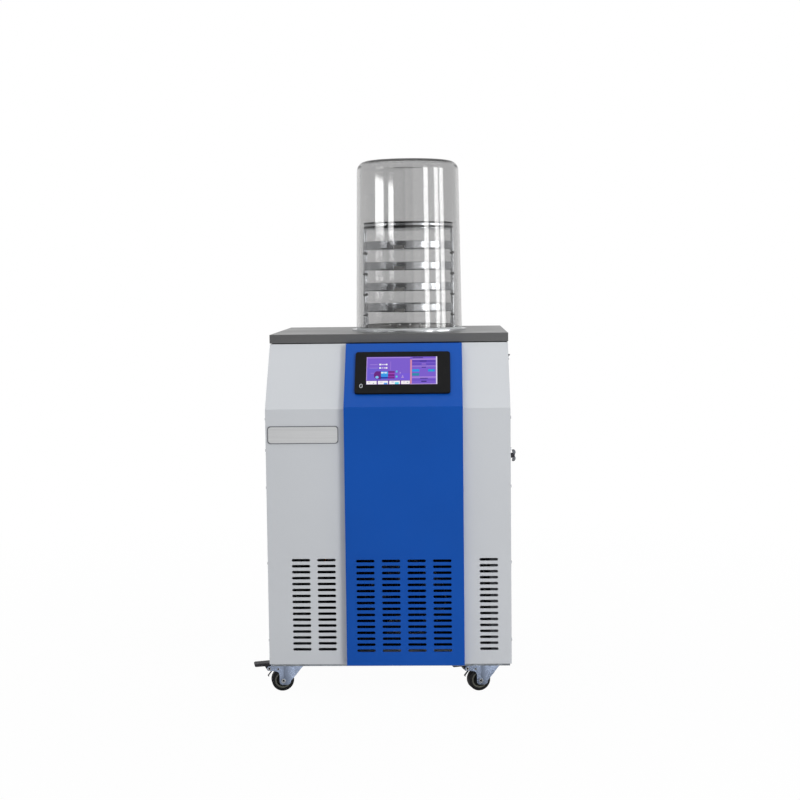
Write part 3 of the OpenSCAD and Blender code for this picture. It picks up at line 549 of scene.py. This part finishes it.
# lit picture on the screen: blocks of flat colour, in percent of its width and height
screen = {
    "layer": 0.04, "layerStep": 0.08, "thickness": 1.0, "glow": 0.9, "slope": 50.23,
    "blocks": [
        (0, 0, 100, 100, (126, 92, 212)), (1, 14, 22, 60, (112, 92, 216)), (40, 16, 62, 40, (122, 90, 222)),
        (0, 95.5, 62, 99, (170, 136, 226)), (0, 0, 1, 100, (186, 156, 234)),
        (0, 0, 98, 2, (206, 176, 240)), (98.2, 0, 100, 100, (232, 222, 250)),
        (5, 71, 16, 73, (166, 136, 228)), (4, 58.5, 16, 60.5, (166, 136, 228)),
        (18, 69.5, 21, 75, (255, 255, 255)), (21.6, 70.5, 24.4, 74, (232, 222, 252)),
        (25, 70.5, 27, 74, (244, 238, 255)), (27.4, 69.5, 29.6, 75, (255, 255, 255)),
        (18, 57, 20.6, 62.5, (255, 255, 255)), (21.6, 58, 23.6, 61.5, (222, 210, 250)),
        (24.4, 58, 26.8, 61.5, (240, 232, 255)), (27.2, 57, 29.6, 62.5, (255, 255, 255)),
        (33.5, 52, 34.6, 83, (150, 112, 218)), (6, 40, 12, 42, (160, 120, 220)),
        (20.6, 20, 30.6, 47, (42, 150, 240)), (20.6, 38, 30.6, 44, (80, 190, 245)),
        (20.6, 21, 30.6, 27, (24, 40, 170)), (21, 40, 23.4, 45, (255, 255, 255)),
        (24, 41, 26, 44.5, (226, 240, 255)), (26.6, 40, 28.6, 45, (250, 252, 255)),
        (30.6, 21, 40, 48, (112, 14, 134)), (30.6, 37, 40, 42, (162, 60, 184)),
        (30.6, 26, 40, 30, (150, 44, 176)), (41.6, 43, 44, 50, (96, 190, 226)),
        (41.6, 25, 44, 31, (96, 214, 222)), (44.8, 35, 47.4, 38, (150, 96, 196)),
        (47, 39, 48.4, 44, (178, 150, 232)), (49.4, 24, 53, 27, (188, 156, 214)),
        (50.6, 27, 52, 33, (176, 150, 232)), (0, 0, 62, 14.5, (96, 40, 150)),
        (0.4, 1, 14.8, 13, (255, 252, 255)), (16.6, 1, 30.8, 13, (255, 252, 255)),
        (32.6, 1, 47.6, 13, (255, 252, 255)), (49.2, 1, 61.4, 13, (255, 250, 255)),
        (3, 7.6, 5.4, 9.6, (196, 160, 206)), (9.6, 3, 11.2, 6, (150, 170, 180)),
        (19, 7.6, 23, 9.6, (186, 160, 216)), (25, 1, 30, 6.4, (96, 164, 246)),
        (35.6, 7, 39, 10, (180, 170, 216)), (40.4, 1, 46, 8, (100, 222, 244)),
        (52, 7.6, 55, 9.6, (206, 176, 206)), (57, 5.4, 59.4, 9, (180, 190, 200)),
        (61.8, 2, 64.2, 90, (214, 132, 178)), (62.6, 4, 63.4, 89, (232, 158, 150)),
        (64.4, 79, 98, 88, (96, 66, 190)), (64.4, 67, 98, 76, (104, 74, 198)),
        (64.4, 89, 98, 92, (190, 150, 232)), (64.4, 64, 98, 67, (172, 136, 226)),
        (65, 94, 80, 98, (78, 50, 150)), (75.4, 82, 85, 85, (58, 36, 130)),
        (78, 71.5, 84, 74, (176, 130, 226)), (78, 59.5, 84, 62.5, (66, 40, 140)),
        (64.4, 45, 74.8, 54, (24, 152, 236)), (64.4, 30.5, 74.8, 40, (36, 140, 176)),
        (87, 45, 96.6, 54, (20, 148, 232)), (89.6, 46.4, 94, 51, (40, 176, 196)),
        (64.4, 23, 98, 27.5, (172, 136, 228)), (76, 19.5, 86.6, 22.5, (62, 40, 140)),
        (64.4, 13.5, 98, 17, (104, 74, 198)), (77.4, 8, 85, 12, (54, 32, 124)),
    ],
    "dome": (10.7, 19, 10, 29, (104, 12, 130)),
    "lamp": (15.2, 26, 2.3, (132, 200, 250)),
}


def screenBlock(bm, size, box, layer):
    x0, y0, x1, y1, colour = box
    made = bmesh.ops.create_grid(bm, x_segments=1, y_segments=1, size=0.5)["verts"]
    bmesh.ops.scale(bm, vec=((x1 - x0) / 100 * size[0], (y1 - y0) / 100 * size[1], 1), verts=made)
    middle = ((x0 + x1) / 200 - 0.5, (y0 + y1) / 200 - 0.5)
    bmesh.ops.translate(bm, verts=made, vec=(middle[0] * size[0], middle[1] * size[1], layer))
    return made, colour


def screenRound(bm, size, centre, radii, colour, layer):
    made = bmesh.ops.create_circle(bm, cap_ends=True, segments=28, radius=1)["verts"]
    bmesh.ops.scale(bm, vec=(radii[0], radii[1], 1), verts=made)
    place = ((centre[0] / 100 - 0.5) * size[0], (centre[1] / 100 - 0.5) * size[1], layer)
    bmesh.ops.translate(bm, verts=made, vec=place)
    return made, colour


low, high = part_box("screen_display")
slope = math.radians(screen["slope"])
thick = screen["thickness"] * mm
upSlope = (high.y - low.y) / math.cos(slope) - thick * math.tan(math.pi / 2 - slope)
size = (high.x - low.x, upSlope)
bm = bmesh.new()
paint = bm.loops.layers.float_color.new("picture")
layer = screen["layer"] * mm
shapes = []
for box in screen["blocks"]:
    shapes.append(screenBlock(bm, size, box, layer * (1 + screen["layerStep"] * len(shapes))))
topLayer = layer * (1 + screen["layerStep"] * len(shapes))
x, y, wide, tall, colour = screen["dome"]
domeRadii = (wide / 200 * size[0], tall / 200 * size[1])
shapes.append(screenRound(bm, size, (x + wide / 2, y + tall / 2), domeRadii, colour, topLayer))
shapes.append(screenBlock(bm, size, (x + wide * 0.4, y, x + wide, y + tall * 0.98, colour), topLayer * 1.02))
x, y, radius, colour = screen["lamp"]
lampRadii = (radius / 100 * size[0],) * 2
shapes.append(screenRound(bm, size, (x, y), lampRadii, colour, topLayer * 1.06))
for verts, colour in shapes:
    for face in {face for vert in verts for face in vert.link_faces}:
        if face.normal.z < 0:
            face.normal_flip()
        for loop in face.loops:
            loop[paint] = srgb(*colour)
tilted = Matrix.Rotation(slope, 4, "X")
outward = tilted @ Vector((0, 0, 1))
faceCentre = (low + high) / 2 + outward * (thick / 2)
bmesh.ops.transform(bm, matrix=Matrix.Translation(faceCentre) @ tilted, verts=bm.verts)
picture = addPiece("screenPicture", bm, "display", "cabinet")
lit = Finish("litScreen", colour=(0.01, 0.01, 0.012, 1), roughness=0.3, specular=0.1, glow=screen["glow"])
tone = lit.node("VertexColor", {"layer_name": "picture"}, out="Color")
rows = lit.noise(lit.place((900, 900, 900)), 1.0, detail=1.0).ramp(0.3, 0.7, 0.96, 1.0)
lit.feed("Emission Color", lit.mix(1.0, tone, lit.grey(rows), "MULTIPLY"))
picture.data.materials.clear()
picture.data.materials.append(lit.material)
print("screen made")

# bare badge plate: a pale face on a dark backing
badge = {"backing": (180, 45, 1.6), "face": (176, 41, 0.9), "corner": 7.5, "soft": 0.35}
low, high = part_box("badge_plate")
middle = (low + high) / 2
upright = Matrix.Rotation(math.pi / 2, 4, "X")
badgeLayers = [  # name, finish, the plane it lies against, the way it grows from there, the node it replaces
    ("backing", "frame_paint", high.y, -1, []), ("face", "brushed_plate", low.y, 1, ["badge_plate"]),
]
for name, slot, against, inward, replaced in badgeLayers:
    bm = roundedBlock(badge[name], badge["corner"], badge["soft"])
    place = (middle.x, against + inward * badge[name][2] / 2 * mm, middle.z)
    bmesh.ops.transform(bm, matrix=Matrix.Translation(place) @ upright, verts=bm.verts)
    addPiece("badge" + name.title(), bm, slot, "cabinet", replaced)

# port beside the screen: a metal shell round a dark opening
port = {"size": (7.6, 12.6, 3.6), "corner": 3.75, "soft": 0.3, "wall": 1.2, "depth": 1.4, "draft": 0.05}
portFloor = {"size": (5.0, 10.0, 0.8), "corner": 2.4, "soft": 0.1, "lift": 0.9}
low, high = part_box("usb_port")
middle = (low + high) / 2
bm = roundedBlock(port["size"], port["corner"], port["soft"])
upper = max(bm.faces, key=lambda f: f.calc_center_median().z)
sink(bm, upper, port["wall"], port["depth"], port["draft"])
bmesh.ops.transform(bm, matrix=Matrix.Translation(middle) @ tilted, verts=bm.verts)
addPiece("portShell", bm, "bright_metal", "cabinet", ["usb_port"])
bm = roundedBlock(portFloor["size"], portFloor["corner"], portFloor["soft"])
place = middle + outward * portFloor["lift"] * mm
bmesh.ops.transform(bm, matrix=Matrix.Translation(place) @ tilted, verts=bm.verts)
addPiece("portInside", bm, "black_plastic", "cabinet")
print("badge and port made")

# casters: turned wheels
wheel = {
    "side": 12.0, "rimDepth": 8.0, "shoulder": 3.2, "bore": 4.05, "hub": 13.5, "web": 4.0, "rimWall": 4.0,
}
rollAxis = {j["child"]: Vector(j["axis"]) for j in frame["record"]["behaviour"]["joints"]}
corners = ("front_left", "front_right", "rear_left", "rear_right")


# a closed profile of radius and distance along the axle in mm, spun about the wheel's own axis
def spinWheel(name, points, corner, slot, paleFrom=0.0, steps=72):
    low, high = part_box(f"tyre_{corner}")
    bm = bmesh.new()
    verts = [bm.verts.new((r * mm, a * mm, 0)) for r, a in points]
    edges = [bm.edges.new(pair) for pair in zip(verts, verts[1:] + verts[:1])]
    bmesh.ops.spin(
        bm, geom=verts + edges, cent=origin, axis=(0, 1, 0), angle=2 * math.pi, steps=steps,
        use_merge=True, use_duplicate=False,
    )
    if paleFrom:
        rim = bm.loops.layers.float_color.new("rim")
        for face in bm.faces:
            centre = face.calc_center_median()
            pale = 1.0 if math.hypot(centre.x, centre.z) > paleFrom * mm else 0.0
            for loop in face.loops:
                loop[rim] = (pale, pale, pale, 1.0)
    axis = rollAxis[f"wheel_{corner}"]
    turn = Matrix.Rotation(math.atan2(-axis.x, axis.y), 3, "Z")
    bmesh.ops.rotate(bm, verts=bm.verts, cent=origin, matrix=turn)
    bmesh.ops.translate(bm, verts=bm.verts, vec=(low + high) / 2)
    node = f"{name}_{corner}"
    addPiece(camel(node), bm, slot, bodyOf[node], [node], sharp=40, closeUp=True)


for corner in corners:
    low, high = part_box(f"tyre_{corner}")
    full = (high.z - low.z) / 2 / mm
    rim = full - wheel["rimDepth"]
    side, shoulder = wheel["side"], wheel["shoulder"]
    tread = arc(full - shoulder, side - shoulder, shoulder, 0, 90, 6)
    tyreLine = [(rim, side - 1), (rim + 0.6, side), (rim + 2, side)] + tread[::-1]
    tyreLine += [(r, -a) for r, a in reversed(tyreLine)]
    spinWheel("tyre", tyreLine, corner, "tyre_rubber")
    bore, hubSide, web = wheel["bore"], wheel["hub"], wheel["web"]
    inner = rim - wheel["rimWall"]
    half = [(bore, hubSide), (bore + 3, hubSide), (bore + 4, hubSide - 1), (bore + 4.4, web + 1.5)]
    half += [(bore + 6, web), (inner - 2, web), (inner - 0.4, web + 1.5), (inner, side - 2.2)]
    half += [(inner + 0.8, side - 1), (rim, side - 1)]
    hubLine = half + [(r, -a) for r, a in reversed(half)]
    spinWheel("hub", hubLine, corner, "grey_plastic", paleFrom=inner - 0.3)
print("wheels made")

# axle bolts with a socket sunk in the front end, and the round heads of the brakes' pins; black discs at the
# floors of the sockets and head recesses are painted shade
socket = {"wall": 2.9, "depth": 1.6, "draft": 0.1, "floor": 2.6, "floorHeight": 0.2, "axleEnd": 21.5}
pins = [((-36, 34), 18.8, 4.4), ((-13, 31), 18.4, 3.1)]  # place beside the axle, reach to the side, radius
pinHead = {"height": 0.9, "edge": 0.5, "recess": 0.1, "floorHeight": 0.25}


def roundHead(radius):
    half = radius * 0.5
    top, edge = pinHead["height"], pinHead["edge"]
    line = [(0, pinHead["recess"]), (half, pinHead["recess"]), (half + 0.3, top), (radius - edge, top)]
    return spinProfile(line + [(radius, edge), (radius, 0), (0, 0)], 28, False, origin)


def disc(radius, height):
    return spinProfile([(0, height), (radius, height), (radius, 0), (0, 0)], 20, False, origin)


for corner in corners:
    node = f"axle_{corner}"
    axis = rollAxis[f"wheel_{corner}"]
    bm = copyOf(node)
    ends = [f for f in bm.faces if f.normal.dot(axis) < -0.99]
    front = min(ends, key=lambda f: f.calc_center_median().dot(axis))
    sink(bm, front, socket["wall"], socket["depth"], socket["draft"])
    addPiece(camel(node), bm, "bright_metal", bodyOf[node], [node], sharp=30)
    low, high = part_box(f"tyre_{corner}")
    centre = (low + high) / 2
    along = Vector((axis.y, -axis.x, 0))
    # black discs at the floors of the socket and head recesses: painted shade
    dark = bmesh.new()
    end = centre - axis * (socket["axleEnd"] - socket["depth"]) * mm
    joinInto(dark, disc(socket["floor"], socket["floorHeight"]), turnedTo(-axis, end))
    if corner.startswith("front"):
        heads = bmesh.new()
        for (x, z), reach, radius in pins:
            for side in (-1, 1):
                place = centre + along * x * mm + Vector((0, 0, z * mm)) + axis * side * reach * mm
                joinInto(heads, roundHead(radius), turnedTo(axis * side, place))
                joinInto(dark, disc(radius * 0.5, pinHead["floorHeight"]), turnedTo(axis * side, place))
        addPiece(camel(f"pinHeads_{corner}"), heads, "bright_metal", bodyOf[node], sharp=30)
    addPiece(camel(f"sockets_{corner}"), dark, "black_enamel", bodyOf[node])
print("bolts made")

# screws on the sides and the back: pan heads with a cross recess
screw = {
    "crown": 2.88, "height": 1.8, "arm": 2.3, "slot": 0.75, "depth": 1.1, "taper": 0.8, "turnStep": 37,
    "dome": [(1.2, 0.25), (1.11, 0.5), (1.043, 0.7), (1.0, 0.35)],  # growth and drop of each row of the head
}


def ringOf(bm, points, height):
    verts = [bm.verts.new((x * mm, y * mm, height * mm)) for x, y in points]
    return [bm.edges.new(pair) for pair in zip(verts, verts[1:] + verts[:1])]


def pushed(bm, edges, grow, lift):  # the loop's next row: scaled about the screw's axis and moved along it
    made = bmesh.ops.extrude_edge_only(bm, edges=edges)["geom"]
    verts = [v for v in made if isinstance(v, bmesh.types.BMVert)]
    bmesh.ops.scale(bm, vec=(grow, grow, 1), verts=verts)
    bmesh.ops.translate(bm, vec=(0, 0, lift * mm), verts=verts)
    return [e for e in made if isinstance(e, bmesh.types.BMEdge) and all(v in verts for v in e.verts)]


def screwHead():
    bm = bmesh.new()
    arm, slot = screw["arm"], screw["slot"]
    cross = [
        (slot, slot), (slot, arm), (-slot, arm), (-slot, slot), (-arm, slot), (-arm, -slot), (-slot, -slot),
        (-slot, -arm), (slot, -arm), (slot, -slot), (arm, -slot), (arm, slot),
    ]
    rim = ringOf(bm, circle(screw["crown"], 24), screw["height"])
    recess = ringOf(bm, cross, screw["height"])
    bmesh.ops.triangle_fill(bm, edges=rim + recess, use_beauty=True)
    floorLoop = pushed(bm, recess, screw["taper"], -screw["depth"])
    bmesh.ops.triangle_fill(bm, edges=floorLoop, use_beauty=True)
    for grow, drop in screw["dome"]:
        rim = pushed(bm, rim, grow, -drop)
    bmesh.ops.edgeloop_fill(bm, edges=rim)
    bmesh.ops.recalc_face_normals(bm, faces=bm.faces)
    return bm


def placeScrews(name, places, outward):
    whole = bmesh.new()
    for number, place in enumerate(places):
        turn = Matrix.Rotation(math.radians(screw["turnStep"] * number), 4, "Z")
        joinInto(whole, screwHead(), turnedTo(outward, place) @ turn)
    addPiece(name, whole, "bright_metal", "cabinet", sharp=35)


screwRows = {
    "side": [0.146, 0.346, 0.541, 0.636, 0.716], "back": [0.126, 0.326, 0.556, 0.756, 0.876],
    "fold": 0.010, "inset": 0.012, "lift": 0.0001,
}
lift = screwRows["lift"]
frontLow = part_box("front_panel_left")[0]
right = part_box("side_panel_right")[1].x
backLow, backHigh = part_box("rear_panel")
foldMiddle = frontLow.y + screwRows["fold"]
columns = (backLow.x + screwRows["inset"], backHigh.x - screwRows["inset"])
leftPlaces = [(frontLow.x - lift, foldMiddle, z) for z in screwRows["side"]]
rightPlaces = [(right + lift, foldMiddle, z) for z in screwRows["side"]]
backPlaces = [(x, backHigh.y + lift, z) for x in columns for z in screwRows["back"]]
placeScrews("screwsLeft", leftPlaces, Vector((-1, 0, 0)))
placeScrews("screwsRight", rightPlaces, Vector((1, 0, 0)))
placeScrews("screwsBack", backPlaces, Vector((0, 1, 0)))
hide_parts("panel_screws")
print("screws made")

stage = {
    "radius": 6.0, "grey": (0.62, 0.62, 0.62, 1), "nearWhite": 0.975, "whiteAt": (0.7, 2.6),
    "nearGloss": 1.9, "dark": 0.06, "casterGap": 0.59, "phase": 0.661, "under": 0.25,
    "underAt": (0.28, 0.36), "farAt": (0.6, 1.6),
}
ground = Finish("paleFloor", colour=stage["grey"], roughness=0.9, specular=0.0)
rays = ground.ray("Camera").maximum(ground.ray("Transmission"))
shader = Wire(ground, ground.shader.outputs[0])
away = ground.size(ground.place((1, 1, 0)))
mask = rays * away.ramp(*stage["whiteAt"], stage["nearWhite"], 1.0)
mixed = ground.mixShader(mask, shader, ground.light("Emission", 1.0))
# what metal near the floor mirrors, painted into a glow seen by glossy rays only: painted shade under the
# cabinet, and a painted pool of light that grows to the right of each caster
across = ground.part(ground.place(), 0)
depth = ground.part(ground.place(), 1)
depth = depth.math("ABSOLUTE", depth)
pools = across.math("FRACT", across / stage["casterGap"] + stage["phase"])
near = (pools * stage["nearGloss"] + stage["dark"]) * depth.ramp(*stage["underAt"], stage["under"], 1.0)
far = away.ramp(*stage["farAt"])
mixed = ground.mixShader(ground.ray("Glossy"), mixed, ground.light("Emission", far + near * (1 - far)))
ground.tree.links.new(mixed.socket, ground.output.inputs["Surface"])
bm = bmesh.new()
bmesh.ops.create_circle(bm, cap_ends=True, segments=96, radius=stage["radius"])
mesh = bpy.data.meshes.new("floor")
bm.to_mesh(mesh)
bm.free()
floor = bpy.data.objects.new("floor", mesh)
bpy.context.scene.collection.objects.link(floor)
mesh.materials.append(ground.material)

world = bpy.data.worlds.new("studio")
bpy.context.scene.world = world
world.use_nodes = True


class WorldFinish(Finish):
    def __init__(self, data):
        self.tree = data.node_tree


# what gloss and metal see, by compass direction: a grey room with soft strips of light and one dark screen
room = {
    "walls": 0.75, "ceiling": 0.6, "ceilingAt": (8.0, 30.0), "overhead": 0.7, "overheadAt": (40.0, 60.0),
    "back": 0.1, "backAt": (0.3, 0.9), "standing": 24.0, "soft": 2.0,
    "strips": [  # middle and width in degrees from the front, lowest and highest elevation, brightness
        (-66.5, 22, 3.1, 5.15, 9), (-37.5, 12, 3.1, 5.15, 9), (42.5, 10, -2.2, 6.1, 9),
        (68.5, 10, -2.2, 6.1, 8), (83, 11, -2.2, 6.1, 8),
    ],
    "screen": (-33, 57, 0.7), "pale": (44, 62, 0.8),
}
sky = WorldFinish(world)
sight = sky.node("TexCoord", out="Generated")
east, north, upward = [sky.part(sight, index) for index in range(3)]
bearing = east.math("ARCTAN2", east, north * -1.0) * math.degrees(1)
height = upward.math("ARCSINE", upward) * math.degrees(1)


def within(value, middle, width, soft):
    apart = value - middle
    apart = apart.math("ABSOLUTE", apart)
    return 1 - apart.ramp(width / 2 - soft, width / 2 + soft)


level = height.ramp(*room["ceilingAt"], room["walls"], room["ceiling"])
level = level + height.ramp(*room["overheadAt"], 0.0, room["overhead"])
level = level + north.ramp(*room["backAt"], 0.0, room["back"])
standing = within(height, 0.0, room["standing"], room["soft"])
middle, width, darkness = room["screen"]
level = level * (1 - within(bearing, middle, width, room["soft"]) * standing * darkness)
middle, width, extra = room["pale"]
level = level + within(bearing, middle, width, 3.0) * standing * extra
for middle, width, lowest, highest, brightness in room["strips"]:
    tall = within(height, (lowest + highest) / 2, highest - lowest, 0.15)
    level = level + within(bearing, middle, width, 0.8) * tall * brightness
straight = sky.ray("Camera").maximum(sky.ray("Transmission"))
reflected = sky.node("LightPath", out="Glossy Depth").minimum(1.0) * (1 - sky.ray("Diffuse"))
ambient = {"strength": 0.62, "colour": (0.96, 0.98, 1.0, 1), "high": 0.15, "highAt": (11.0, 22.0)}
dim = sky.light("Background", ambient["strength"], ambient["colour"])
bright = sky.light("Background", height.ramp(*ambient["highAt"], 1.0, ambient["high"]))
mixed = sky.mixShader(straight, dim, bright)
mixed = sky.mixShader(reflected, mixed, sky.light("Background", level))
sky.tree.links.new(mixed.socket, sky.tree.nodes["World Output"].inputs["Surface"])

lamps = {
    "overhead": {"place": (-0.5, -0.6, 3.6), "aim": (0, 0, 0.7), "size": (2.6, 2.0), "power": 22},
    "front": {"place": (3.0, -3.7, 2.2), "aim": (0, 0, 0.7), "size": (1.4, 2.2), "power": 92},
    "rear": {"place": (0.4, 3.2, 2.6), "aim": (0, 0, 0.7), "size": (2.4, 2.0), "power": 34},
}
for name, lamp in lamps.items():
    data = bpy.data.lights.new(name, "AREA")
    data.shape = "RECTANGLE"
    data.size, data.size_y = lamp["size"]
    data.energy = lamp["power"]
    light = bpy.data.objects.new(name, data)
    bpy.context.scene.collection.objects.link(light)
    light.location = lamp["place"]
    light.rotation_euler = (Vector(lamp["aim"]) - Vector(lamp["place"])).to_track_quat("-Z", "Y").to_euler()
    light.visible_glossy = False
    light.visible_transmission = False

view = {"place": (0.1592, -4.0607, 1.0751), "yaw": -0.0306, "pitch": 0.0838, "roll": -0.0112, "lens": 66.64}
data = bpy.data.cameras.new("camera")
data.lens = view["lens"]
data.sensor_width = 36
camera = bpy.data.objects.new("camera", data)
bpy.context.scene.collection.objects.link(camera)
camera.location = view["place"]
turnAbout = Matrix.Rotation(-view["yaw"], 3, "Z")
tilt = Matrix.Rotation(math.pi / 2 - view["pitch"], 3, "X")
camera.rotation_euler = (turnAbout @ tilt @ Matrix.Rotation(view["roll"], 3, "Z")).to_euler()
bpy.context.scene.camera = camera
bpy.context.scene.view_settings.view_transform = "Standard"
print("stage set")
